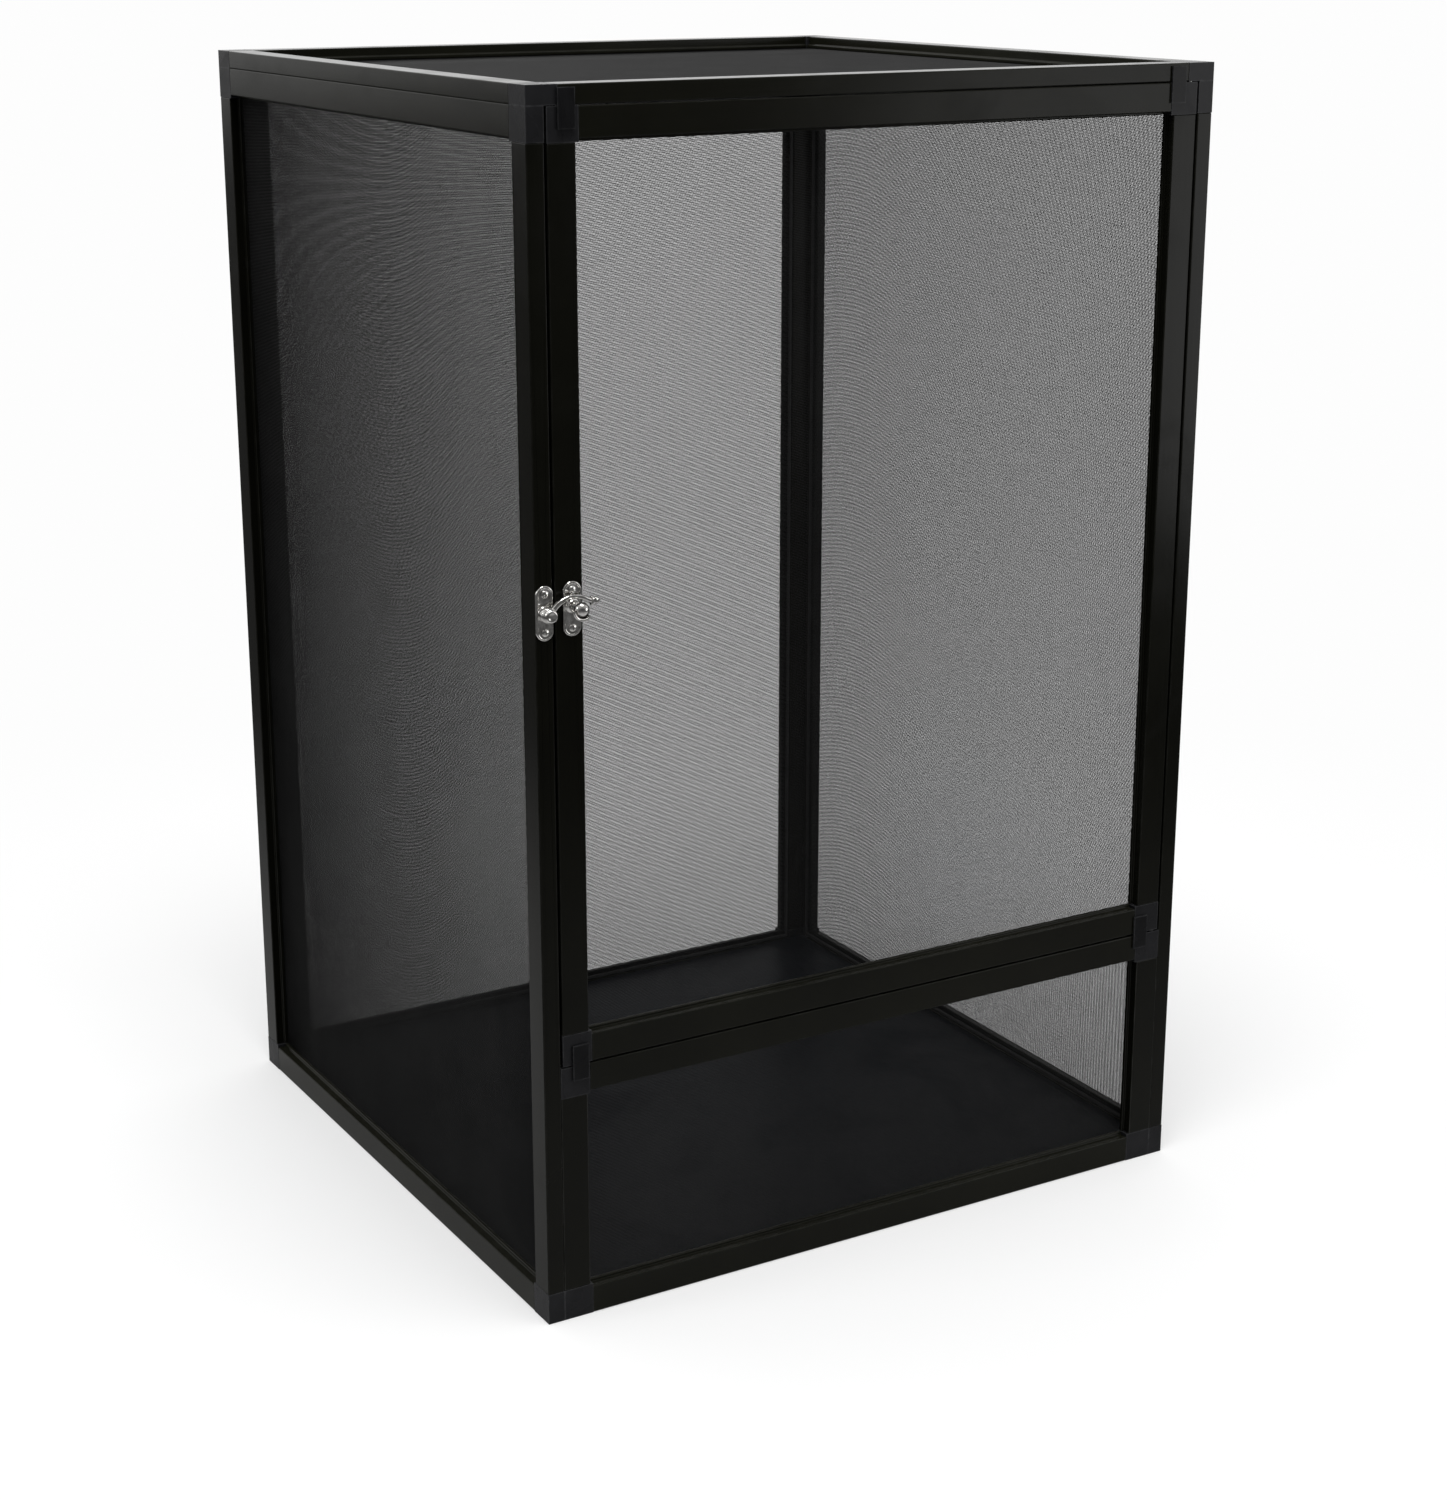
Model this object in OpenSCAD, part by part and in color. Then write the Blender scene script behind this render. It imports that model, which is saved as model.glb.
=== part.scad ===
// Mesh reptile cage: six framed screens, a floor board, a side-hung door and a swing-hook latch.
// Millimetres, +Z up, front towards -Y. The origin is at the middle of the part's box, latch included,
// on the surface that it stands on.

/* [Cage] */
// Overall width, across the front
cage_w = 620; // [500:5:900]
// Overall depth, front face to back face
cage_d = 600; // [400:5:900]
// Overall height, top frame included
cage_h = 960; // [800:5:1300]
// Height of the low frame under the door
lower_h = 216; // [150:1:300]

/* [Frame section] */
// Width of a rail, seen face on
rail_w = 25.5; // [24:0.5:32]
// Thickness of a frame, outer face to inner face
rail_t = 14.5; // [13.5:0.25:17]
// Wall of the hollow extrusion
wall = 1.4; // [1:0.1:2]
// Width of the rebate that takes the screen
rebate_w = 8; // [7:0.25:9]
// Depth of the screen behind the outer face
screen_depth = 11; // [9:0.25:11]
// How far the ledge under the screen stands out from the rail's face edge
lip_w = 2.5; // [1:0.25:4]
// Thickness of that ledge
lip_t = 3.5; // [2:0.25:5]

/* [Corner keys] */
// Length of a key's leg inside the extrusion
key_leg = 30; // [15:1:45]
// Play between a leg and the extrusion on each side
key_play = 0.2; // [0.1:0.05:0.4]

/* [Screens] */
// Thickness of the screen
screen_t = 0.6; // [0.4:0.1:1]
// Spacing of the drawn strands
screen_pitch = 75; // [75:5:120]
// Width of a drawn strand
strand_w = 1.2; // [0.8:0.1:2.5]
// Room between the screen's edge and the wall of the rebate
screen_room = 1; // [0.5:0.1:2]
// Width of the spline cord
spline_w = 3.2; // [2:0.1:4]
// Height of the spline cord
spline_h = 2.4; // [1.5:0.1:2.8]
// Room between the spline and the wall of the rebate
spline_room = 0.8; // [0.3:0.1:2]

/* [Floor] */
// Height of the floor board's upper face
floor_top = 17; // [14:0.5:17]
// Thickness of the floor board
floor_t = 6; // [3:0.5:8]
// Room round the floor board
floor_room = 1; // [0.5:0.1:3]
// Width of the ledge angles' flat leg
ledge_w = 14; // [10:1:20]
// Thickness of the ledge angles
ledge_t = 1.5; // [1:0.1:2.5]
// Radius of a ledge screw's shank
ledge_screw_r = 1.4; // [1:0.1:1.8]
// Length of a ledge screw's shank
ledge_screw_len = 8; // [6:0.5:10]
// Radius of a ledge screw's head
ledge_head_r = 2.5; // [2:0.1:3]
// Height of a ledge screw's head
ledge_head_h = 1.4; // [1:0.1:2]

/* [Dowels] */
// Radius of the dowels between frames
dowel_r = 2; // [1.5:0.1:2.5]
// Length of a dowel in each of the frames that it joins
dowel_len = 8; // [6:0.5:10]
// Push-fit play round a dowel or peg
push_play = 0.03; // [0.01:0.01:0.1]

/* [Door] */
// Gap at each side of the door
door_gap = 2; // [1.5:0.1:3]
// Gap under the door, which takes the washer
door_gap_z = 1.5; // [1:0.1:3]
// Gap over the door
door_gap_top = 0.7; // [0.5:0.1:3]
// Radius of a pivot pin
pivot_r = 2; // [1.5:0.1:2.2]
// Pivot axis, in from the door's hinge edge
pivot_inset = 5; // [4:0.25:6]
// Pivot axis, behind the front face
pivot_setback = 4; // [3.5:0.1:4.5]
// Length of a pivot pin in the fixed frame
pivot_seat = 9; // [6:0.5:11]
// Length of a pivot pin in the door
pivot_reach = 14; // [8:0.5:20]
// Running clearance round a pivot pin or the latch rivet
run_play = 0.05; // [0.02:0.01:0.1]
// Outer radius of the washer under the door
washer_r = 3.6; // [3.2:0.1:4]
// Play over and under that washer
washer_play = 0.1; // [0.05:0.05:0.3]

/* [Stop plates] */
// Width of a stop plate
stop_w = 14; // [8:0.5:16]
// Lap of a stop plate over the neighbouring frame
stop_lap = 13; // [6:0.5:13.5]
// Height of a stop plate on the door
stop_hold = 16; // [9:0.5:18]
// Thickness of a stop plate
stop_t = 1.6; // [1:0.1:3]
// Gap between a stop plate and the frames behind it
stop_gap = 0.3; // [0.3:0.1:1]
// Inset of the stop plates from the door's hinge edge
stop_inset_hinge = 13; // [13:0.5:16]
// Inset of the stop plates from the door's latch edge
stop_inset_latch = 8; // [2:0.5:12]
// Radius of a stop plate's peg
peg_r = 1.5; // [1:0.1:2]
// Length of that peg in the door's corner key
peg_len = 6; // [4:0.5:9]
// Radius of the collar round that peg
peg_collar_r = 3.5; // [2.5:0.1:4]

/* [Latch] */
// Height of the latch's middle
latch_z = 581; // [400:1:700]
// Height of the base plate and of the catch plate
latch_plate_h = 42; // [38:1:50]
// Width of the base plate
latch_plate_w = 14; // [12:0.5:14]
// Width of the catch plate
catch_plate_w = 13; // [12:0.5:15]
// Thickness of both plates
latch_plate_t = 2.2; // [1.2:0.1:3]
// Spacing of the two screws in each plate
latch_screw_gap = 29; // [25:0.5:31]
// Radius of a latch screw's shank
latch_screw_r = 1.4; // [1:0.1:1.6]
// Length of a latch screw's shank below its head
latch_screw_len = 9; // [5:0.5:11]
// Radius of a latch screw's head
latch_head_r = 3; // [2.4:0.1:3.5]
// Height of a latch screw's head
latch_head_h = 1.2; // [0.8:0.1:2]
// Radius of the raised boss under the arm
boss_r = 5.4; // [4.5:0.1:6]
// Height of that boss above its plate
boss_h = 2.8; // [2.6:0.1:6]
// Radius of the rivet
rivet_r = 2.2; // [1.6:0.1:2.8]
// Radius of the rivet's head
rivet_head_r = 5.8; // [4.4:0.1:6]
// Height of the rivet's head
rivet_head_h = 5; // [1:0.1:6]
// Radius of the flat on that head
rivet_flat_r = 4; // [1:0.1:4.2]
// Gap between the arm and what lies before and behind it
arm_gap = 0.3; // [0.3:0.05:0.6]
// Thickness of the arm
arm_t = 3.5; // [2.5:0.1:5]
// Radius of the arm's eye
arm_eye_r = 6; // [5:0.1:7]
// Middle of the arm's arch, to the right of the rivet
arch_x = 21; // [20:0.25:22]
// Middle of the arm's arch, below the rivet
arch_drop = 9.5; // [9:0.25:10]
// Outer radius of the arch
arch_r = 23.3; // [22.5:0.1:24]
// Width of the arm along the arch
arch_w = 4.5; // [3.5:0.1:5]
// Direction of the arch's end, above the horizontal
arch_end = 50; // [44:1:56]
// Part of the arch that the finial's neck covers, in degrees
neck_turn = 6; // [4:1:10]
// Width of the finial's collar, along the finial
collar_w = 2; // [1:0.1:3]
// How far the collar stands out of the arm on each side
collar_out = 1.4; // [0.5:0.1:1.8]
// Length of the finial's point
point_len = 6.5; // [5:0.5:10]
// Middle of the catch plate, above the middle of the base plate
catch_rise = 1; // [0:0.1:2]
// Catch stalk, to the right of the rivet
stalk_x = 22.75; // [21:0.25:24]
// Catch stalk, above the rivet
stalk_rise = 3.6; // [2.8:0.1:4.4]
// Radius of the stalk
stalk_r = 4; // [2.5:0.1:4.2]
// Radius of the stalk's foot on its plate
foot_r = 5.8; // [5:0.1:6]
// Height of that foot in front of its plate
foot_h = 2.2; // [1:0.1:2.4]
// Length of the stalk in front of its plate
stalk_len = 14.4; // [13:0.2:16]
// Radius of the ball on the stalk's end
ball_r = 5.8; // [5:0.1:6]
// Radius of the flare below the ball
flare_r = 7.5; // [6.8:0.1:8.5]
// Radius of the roll along that flare's edge
flare_roll_r = 1.2; // [0.9:0.1:1.5]
// How far that flare reaches round the ball, in degrees
flare_turn = 140; // [100:5:180]

/* [Hidden] */
// Places of the latch in front of its plate: the arm's two faces, and how far the latch stands out in all
arm_back = latch_plate_t + boss_h + arm_gap;
arm_front = arm_back + arm_t;
stalk_end = latch_plate_t + stalk_len;
latch_reach = max(stalk_end + ball_r, arm_front + arm_gap + rivet_head_h);

// Places shared by the frames
mid_y = latch_reach / 2;
front_y = mid_y - cage_d / 2;
back_y = mid_y + cage_d / 2;
left_x = -cage_w / 2;
right_x = cage_w / 2;
wall_h = cage_h - rail_t;
inner_w = cage_w - 2 * rail_t;
inner_d = cage_d - 2 * rail_t;
door_w = inner_w - 2 * door_gap;
door_z = lower_h + door_gap_z;
door_h = wall_h - door_gap_top - door_z;
door_right = right_x - rail_t - door_gap;
door_left = -door_right;
rebate_u = rail_w - rebate_w;
ledge_h = floor_top - floor_t;

// Door pivot axis
pivot_x = door_right - pivot_inset;
pivot_y = front_y + pivot_setback;

// Rivet and stalk axes, and the arm's arch
rivet_x = left_x + rail_t / 2;
catch_x = rivet_x + stalk_x;
catch_z = latch_z + catch_rise;
arch_in = arch_r - arch_w;
arch_mid = arch_r - arch_w / 2;
arch_start = 180 - atan2(arch_drop, arch_x);

// Colours
frame_black = [0.09, 0.095, 0.1];
key_black = [0.13, 0.14, 0.155];
screen_black = [0.06, 0.06, 0.065];
spline_black = [0.04, 0.04, 0.045];
floor_navy = [0.1, 0.11, 0.14];
steel = [0.62, 0.62, 0.6];
nickel = [0.8, 0.79, 0.76];

// A cut runs past its faces, and a leg is rooted in its block, by this much
cut = 1;
$fn = 48;

// Section of the extrusion: x runs inwards from the frame's edge, y from its outer face to its inner face
module section() {
    lip_y = screen_depth - lip_t;
    face_w = rail_w - lip_w;
    difference() {
        polygon([
            [0, 0], [face_w, 0], [face_w, lip_y], [rail_w, lip_y], [rail_w, screen_depth],
            [rebate_u, screen_depth], [rebate_u, rail_t], [0, rail_t]
        ]);
        polygon([
            [wall, wall], [face_w - wall, wall], [face_w - wall, screen_depth - wall],
            [rebate_u - wall, screen_depth - wall], [rebate_u - wall, rail_t - wall], [wall, rail_t - wall]
        ]);
    }
}

// One length of extrusion along +X, with its outer edge on the X axis and its outer face at z = 0
module bar(length) {
    rotate([90, 0, 90]) linear_extrude(length) section();
}

// The four sides of a frame that lies face down: w along X, h along Y, the outer face at z = 0
module low_side(w, h) {
    translate([rail_w, 0, 0]) bar(w - 2 * rail_w);
}

module high_side(w, h) {
    translate([w - rail_w, h, 0]) rotate(180) bar(w - 2 * rail_w);
}

module first_side(w, h) {
    translate([0, h - rail_w, 0]) rotate(-90) bar(h - 2 * rail_w);
}

module last_side(w, h) {
    translate([w, rail_w, 0]) rotate(90) bar(h - 2 * rail_w);
}

// A corner key: a square block with the screen's rebate, and two legs that plug into the extrusions
module key() {
    leg_u = rebate_u - 2 * (wall + key_play);
    leg_v = rail_t - 2 * (wall + key_play);
    seat = wall + key_play;
    difference() {
        cube([rail_w, rail_w, rail_t]);
        translate([rebate_u, rebate_u, screen_depth]) cube([rebate_w + cut, rebate_w + cut, rail_t]);
    }
    translate([rail_w - cut, seat, seat]) cube([key_leg + cut, leg_u, leg_v]);
    translate([seat, rail_w - cut, seat]) cube([leg_u, key_leg + cut, leg_v]);
}

module keys(w, h) {
    key();
    translate([w, 0, 0]) rotate(90) key();
    translate([w, h, 0]) rotate(180) key();
    translate([0, h, 0]) rotate(-90) key();
}

// The screen, lying on the ledge of the rebate, drawn as a net of strands
module screen(w, h) {
    edge = rebate_u + screen_room;
    open_w = w - 2 * rail_w;
    open_h = h - 2 * rail_w;
    columns = max(1, round(open_w / screen_pitch));
    rows = max(1, round(open_h / screen_pitch));
    step_x = open_w / columns;
    step_y = open_h / rows;
    translate([0, 0, screen_depth]) linear_extrude(screen_t) difference() {
        translate([edge, edge]) square([w - 2 * edge, h - 2 * edge]);
        for (i = [0 : columns - 1], j = [0 : rows - 1])
            translate([rail_w + i * step_x + strand_w / 2, rail_w + j * step_y + strand_w / 2])
                square([step_x - strand_w, step_y - strand_w]);
    }
}

// The spline cord that lies on the screen's edge in the rebate
module spline(w, h) {
    edge = rebate_u + spline_room;
    inside = edge + spline_w;
    translate([0, 0, screen_depth + screen_t]) linear_extrude(spline_h) difference() {
        translate([edge, edge]) square([w - 2 * edge, h - 2 * edge]);
        translate([inside, inside]) square([w - 2 * inside, h - 2 * inside]);
    }
}

// Stands a frame in its place in the cage
module in_left() {
    translate([left_x, front_y, 0]) rotate([90, 0, 90]) children();
}

module in_right() {
    translate([right_x, back_y, 0]) rotate([90, 0, -90]) children();
}

module in_back() {
    translate([left_x + rail_t, back_y, 0]) rotate([90, 0, 0]) children();
}

module in_top() {
    translate([left_x, back_y, cage_h]) rotate([180, 0, 0]) children();
}

module in_lower() {
    translate([right_x - rail_t, front_y, 0]) rotate([90, 0, 180]) children();
}

module in_door() {
    translate([door_right, front_y, door_z]) rotate([90, 0, 180]) children();
}

// Dowels between the frames; play widens them into their holes
module dowels(play = 0) {
    r = dowel_r + play;
    reach = dowel_len + play;
    for (side = [-1, 1]) {
        joint_x = side * (right_x - rail_t);
        for (z = [rail_w / 2, lower_h - rail_w / 2])
            translate([joint_x - reach, front_y + rail_t / 2, z]) rotate([0, 90, 0])
                cylinder(r = r, h = 2 * reach);
        for (z = [rail_w / 2, wall_h - rail_w / 2])
            translate([joint_x - reach, back_y - rail_t / 2, z]) rotate([0, 90, 0])
                cylinder(r = r, h = 2 * reach);
        for (end = [-1, 1])
            translate([side * (right_x - rail_t / 2), mid_y + end * (cage_d - rail_w) / 2, wall_h - reach])
                cylinder(r = r, h = 2 * reach);
    }
}

// Pivot pins of the door; each joins the fixed frame and the door's corner key
module pivots(play = 0) {
    r = pivot_r + play;
    translate([pivot_x, pivot_y, lower_h - pivot_seat - play])
        cylinder(r = r, h = pivot_seat + door_gap_z + pivot_reach + 2 * play);
    translate([pivot_x, pivot_y, wall_h - door_gap_top - pivot_reach - play])
        cylinder(r = r, h = pivot_seat + door_gap_top + pivot_reach + 2 * play);
}

// Lays its children on each of the four bottom rails: x along the rail from its middle, y into the cage, z up
module on_bottom_rails() {
    for (side = [0 : 3]) {
        reach = side % 2 == 0 ? inner_d / 2 : inner_w / 2;
        translate([0, mid_y, 0]) rotate(90 * side) translate([0, -reach, 0]) children();
    }
}

module ledge_screw(play = 0) {
    rotate([90, 0, 0]) translate([0, 0, -ledge_t]) cylinder(r = ledge_screw_r + play, h = ledge_screw_len);
    if (play == 0)
        rotate([-90, 0, 0]) translate([0, 0, ledge_t]) cylinder(r = ledge_head_r, h = ledge_head_h);
}

// Screws of the ledges, two to each; play widens their shanks into holes
module ledge_screw_set(play = 0) {
    spread = min(inner_w, inner_d) / 4;
    on_bottom_rails()
        for (side = [-1, 1])
            translate([side * spread, 0, (ledge_h - ledge_t) / 2]) ledge_screw(play);
}

// Pegs of the stop plates, in the door's corner keys
module stop_places() {
    for (x = [door_right - stop_inset_hinge - stop_w / 2, door_left + stop_inset_latch + stop_w / 2]) {
        translate([x, front_y, door_z]) children();
        translate([x, front_y, door_z + door_h]) mirror([0, 0, 1]) children();
    }
}

module stop_peg(play = 0) {
    translate([0, 0, stop_hold / 2]) rotate([-90, 0, 0]) cylinder(r = peg_r + play, h = peg_len + play);
}

// Puts its children at both screws of a latch plate: the plate's face towards +Z, the screw along Z
module latch_screw_places(x, z) {
    for (side = [-1, 1])
        translate([x, front_y, z + side * latch_screw_gap / 2]) rotate([90, 0, 0]) children();
}

module latch_screw_hole(play) {
    translate([0, 0, -latch_screw_len - play])
        cylinder(r = latch_screw_r + play, h = latch_screw_len + latch_plate_t + cut);
}

module latch_screw() {
    translate([0, 0, -latch_screw_len]) cylinder(r = latch_screw_r, h = latch_screw_len + latch_plate_t);
    difference() {
        translate([0, 0, latch_plate_t]) cylinder(r = latch_head_r, h = latch_head_h);
        translate([-latch_head_r - cut, -latch_head_h / 4, latch_plate_t + latch_head_h / 2])
            cube([2 * (latch_head_r + cut), latch_head_h / 2, latch_head_h]);
    }
}

// A plate with round ends, standing on the front face
module latch_blank(x, z, w) {
    straight = latch_plate_h - w;
    translate([x, front_y, z]) rotate([90, 0, 0]) linear_extrude(latch_plate_t) union() {
        square([w, straight], center = true);
        for (side = [-1, 1]) translate([0, side * straight / 2]) circle(d = w);
    }
}

// Left side frame
module left_top_rail() {
    color(frame_black) in_left() high_side(cage_d, wall_h);
}

module left_bottom_rail() {
    color(frame_black) difference() {
        in_left() low_side(cage_d, wall_h);
        ledge_screw_set(push_play);
    }
}

module left_front_stile() {
    color(frame_black) difference() {
        in_left() first_side(cage_d, wall_h);
        dowels(push_play);
        latch_screw_places(rivet_x, latch_z) latch_screw_hole(push_play);
    }
}

module left_back_stile() {
    color(frame_black) in_left() last_side(cage_d, wall_h);
}

module left_corners() {
    color(key_black) difference() {
        in_left() keys(cage_d, wall_h);
        dowels(push_play);
    }
}

module left_screen() {
    color(screen_black) in_left() screen(cage_d, wall_h);
}

module left_spline() {
    color(spline_black) in_left() spline(cage_d, wall_h);
}

// Right side frame
module right_top_rail() {
    color(frame_black) in_right() high_side(cage_d, wall_h);
}

module right_bottom_rail() {
    color(frame_black) difference() {
        in_right() low_side(cage_d, wall_h);
        ledge_screw_set(push_play);
    }
}

module right_front_stile() {
    color(frame_black) difference() {
        in_right() last_side(cage_d, wall_h);
        dowels(push_play);
    }
}

module right_back_stile() {
    color(frame_black) in_right() first_side(cage_d, wall_h);
}

module right_corners() {
    color(key_black) difference() {
        in_right() keys(cage_d, wall_h);
        dowels(push_play);
    }
}

module right_screen() {
    color(screen_black) in_right() screen(cage_d, wall_h);
}

module right_spline() {
    color(spline_black) in_right() spline(cage_d, wall_h);
}

// Back frame, between the sides
module back_top_rail() {
    color(frame_black) in_back() high_side(inner_w, wall_h);
}

module back_bottom_rail() {
    color(frame_black) difference() {
        in_back() low_side(inner_w, wall_h);
        ledge_screw_set(push_play);
    }
}

module back_left_stile() {
    color(frame_black) in_back() first_side(inner_w, wall_h);
}

module back_right_stile() {
    color(frame_black) in_back() last_side(inner_w, wall_h);
}

module back_corners() {
    color(key_black) difference() {
        in_back() keys(inner_w, wall_h);
        dowels(push_play);
    }
}

module back_screen() {
    color(screen_black) in_back() screen(inner_w, wall_h);
}

module back_spline() {
    color(spline_black) in_back() spline(inner_w, wall_h);
}

// Top frame, lying on the walls
module top_front_rail() {
    color(frame_black) difference() {
        in_top() high_side(cage_w, cage_d);
        pivots(push_play);
    }
}

module top_back_rail() {
    color(frame_black) in_top() low_side(cage_w, cage_d);
}

module top_left_rail() {
    color(frame_black) in_top() first_side(cage_w, cage_d);
}

module top_right_rail() {
    color(frame_black) in_top() last_side(cage_w, cage_d);
}

module top_corners() {
    color(key_black) difference() {
        in_top() keys(cage_w, cage_d);
        dowels(push_play);
        pivots(push_play);
    }
}

module top_screen() {
    color(screen_black) in_top() screen(cage_w, cage_d);
}

module top_spline() {
    color(spline_black) in_top() spline(cage_w, cage_d);
}

// Low front frame, under the door
module lower_top_rail() {
    color(frame_black) in_lower() high_side(inner_w, lower_h);
}

module lower_bottom_rail() {
    color(frame_black) difference() {
        in_lower() low_side(inner_w, lower_h);
        ledge_screw_set(push_play);
    }
}

module lower_left_stile() {
    color(frame_black) in_lower() last_side(inner_w, lower_h);
}

module lower_right_stile() {
    color(frame_black) in_lower() first_side(inner_w, lower_h);
}

module lower_corners() {
    color(key_black) difference() {
        in_lower() keys(inner_w, lower_h);
        dowels(push_play);
        pivots(push_play);
    }
}

module lower_screen() {
    color(screen_black) in_lower() screen(inner_w, lower_h);
}

module lower_spline() {
    color(spline_black) in_lower() spline(inner_w, lower_h);
}

// Door
module door_top_rail() {
    color(frame_black) in_door() high_side(door_w, door_h);
}

module door_bottom_rail() {
    color(frame_black) in_door() low_side(door_w, door_h);
}

module door_latch_stile() {
    color(frame_black) difference() {
        in_door() last_side(door_w, door_h);
        latch_screw_places(catch_x, catch_z) latch_screw_hole(push_play);
    }
}

module door_hinge_stile() {
    color(frame_black) in_door() first_side(door_w, door_h);
}

module door_corners() {
    color(key_black) difference() {
        in_door() keys(door_w, door_h);
        pivots(run_play);
        stop_places() stop_peg(push_play);
    }
}

module door_screen() {
    color(screen_black) in_door() screen(door_w, door_h);
}

module door_spline() {
    color(spline_black) in_door() spline(door_w, door_h);
}

// Floor board and what carries it
module floor_board() {
    board_w = inner_w - 2 * floor_room;
    board_d = inner_d - 2 * floor_room;
    color(floor_navy) translate([-board_w / 2, mid_y - board_d / 2, ledge_h])
        cube([board_w, board_d, floor_t]);
}

module floor_ledges() {
    length = min(inner_w, inner_d) - 2 * (ledge_w + floor_room);
    color(steel) difference() {
        on_bottom_rails() translate([-length / 2, 0, 0]) {
            cube([length, ledge_t, ledge_h]);
            translate([0, 0, ledge_h - ledge_t]) cube([length, ledge_w, ledge_t]);
        }
        ledge_screw_set(push_play);
    }
}

module ledge_screws() {
    color(steel) ledge_screw_set();
}

// Joints between the frames
module panel_dowels() {
    color(steel) dowels();
}

module pivot_pins() {
    color(steel) pivots();
}

module pivot_washer() {
    color(spline_black) translate([pivot_x, pivot_y, lower_h]) difference() {
        translate([0, 0, washer_play]) cylinder(r = washer_r, h = door_gap_z - 2 * washer_play);
        translate([0, 0, -cut]) cylinder(r = pivot_r + run_play, h = door_gap_z + 2 * cut);
    }
}

// Stop plates on the door's corners, which keep it from swinging inwards
module door_stops() {
    color(key_black) stop_places() {
        translate([-stop_w / 2, -stop_gap - stop_t, -stop_lap]) cube([stop_w, stop_t, stop_lap + stop_hold]);
        translate([0, 0, stop_hold / 2]) rotate([90, 0, 0])
            cylinder(r = peg_collar_r, h = stop_gap + stop_t / 2);
        stop_peg();
    }
}

// Swing-hook latch
module latch_plate() {
    color(nickel) difference() {
        union() {
            latch_blank(rivet_x, latch_z, latch_plate_w);
            translate([rivet_x, front_y, latch_z]) rotate([90, 0, 0])
                cylinder(r = boss_r, h = latch_plate_t + boss_h);
        }
        latch_screw_places(rivet_x, latch_z) latch_screw_hole(push_play);
        translate([rivet_x, front_y + cut, latch_z]) rotate([90, 0, 0])
            cylinder(r = rivet_r + push_play, h = cut + latch_plate_t + boss_h + cut);
    }
}

module latch_plate_screws() {
    color(nickel) latch_screw_places(rivet_x, latch_z) latch_screw();
}

module latch_rivet() {
    color(nickel) translate([rivet_x, front_y, latch_z]) rotate([90, 0, 0]) {
        cylinder(r = rivet_r, h = arm_front + arm_gap);
        translate([0, 0, arm_front + arm_gap])
            cylinder(r1 = rivet_head_r, r2 = rivet_flat_r, h = rivet_head_h);
    }
}

// Outline of the arm, with the rivet at the origin: the eye, the arch, and a level finial on the arch's end
module arm_outline() {
    circle(r = arm_eye_r);
    translate([arch_x, -arch_drop]) {
        far = 2 * arch_r;
        middle = (arch_start + arch_end) / 2;
        neck_from = arch_end + neck_turn;
        finial = [arch_r * cos(arch_end), arch_mid * sin(arch_end)];
        intersection() {
            difference() {
                circle(r = arch_r);
                circle(r = arch_in);
            }
            polygon([
                [0, 0], far * [cos(arch_start), sin(arch_start)],
                far * [cos(middle), sin(middle)], far * [cos(arch_end), sin(arch_end)]
            ]);
        }
        polygon([
            arch_in * [cos(arch_end), sin(arch_end)], finial - [0, arch_w / 2],
            finial + [0, arch_w / 2], arch_r * [cos(neck_from), sin(neck_from)]
        ]);
        translate(finial) {
            square([collar_w, arch_w + 2 * collar_out], center = true);
            polygon([
                [0, -arch_w / 3], [point_len / 2, -arch_w / 2], [collar_w / 2 + point_len, 0],
                [point_len / 2, arch_w / 2], [0, arch_w / 3]
            ]);
        }
    }
}

module latch_arm() {
    color(nickel) translate([rivet_x, front_y, latch_z]) rotate([90, 0, 0]) translate([0, 0, arm_back])
        linear_extrude(arm_t) difference() {
            arm_outline();
            circle(r = rivet_r + run_play);
        }
}

// Half section of the flare and its rolled edge, the ball's middle at the origin
module flare_outline() {
    edge = [flare_r, ball_r / 2];
    polygon([
        [0, -ball_r], edge - [0, flare_roll_r], edge + [0, flare_roll_r], [0, 2 * flare_roll_r - ball_r]
    ]);
    translate(edge) circle(r = flare_roll_r);
}

// Catch on the door: a stalk that the arm drops over, with a ball on its end and a flare below it
module catch_plate() {
    color(nickel) difference() {
        union() {
            latch_blank(catch_x, catch_z, catch_plate_w);
            translate([catch_x, front_y, latch_z + stalk_rise]) rotate([90, 0, 0]) {
                cylinder(r1 = foot_r, r2 = stalk_r, h = latch_plate_t + foot_h);
                cylinder(r = stalk_r, h = stalk_end);
                translate([0, 0, stalk_end]) {
                    sphere(r = ball_r);
                    rotate(180) rotate_extrude(angle = flare_turn) flare_outline();
                }
            }
        }
        latch_screw_places(catch_x, catch_z) latch_screw_hole(push_play);
    }
}

module catch_screws() {
    color(nickel) latch_screw_places(catch_x, catch_z) latch_screw();
}

left_top_rail();
left_bottom_rail();
left_front_stile();
left_back_stile();
left_corners();
left_screen();
left_spline();
right_top_rail();
right_bottom_rail();
right_front_stile();
right_back_stile();
right_corners();
right_screen();
right_spline();
back_top_rail();
back_bottom_rail();
back_left_stile();
back_right_stile();
back_corners();
back_screen();
back_spline();
top_front_rail();
top_back_rail();
top_left_rail();
top_right_rail();
top_corners();
top_screen();
top_spline();
lower_top_rail();
lower_bottom_rail();
lower_left_stile();
lower_right_stile();
lower_corners();
lower_screen();
lower_spline();
door_top_rail();
door_bottom_rail();
door_latch_stile();
door_hinge_stile();
door_corners();
door_screen();
door_spline();
floor_board();
floor_ledges();
ledge_screws();
panel_dowels();
pivot_pins();
pivot_washer();
door_stops();
latch_plate();
latch_plate_screws();
latch_rivet();
latch_arm();
catch_plate();
catch_screws();
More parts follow.
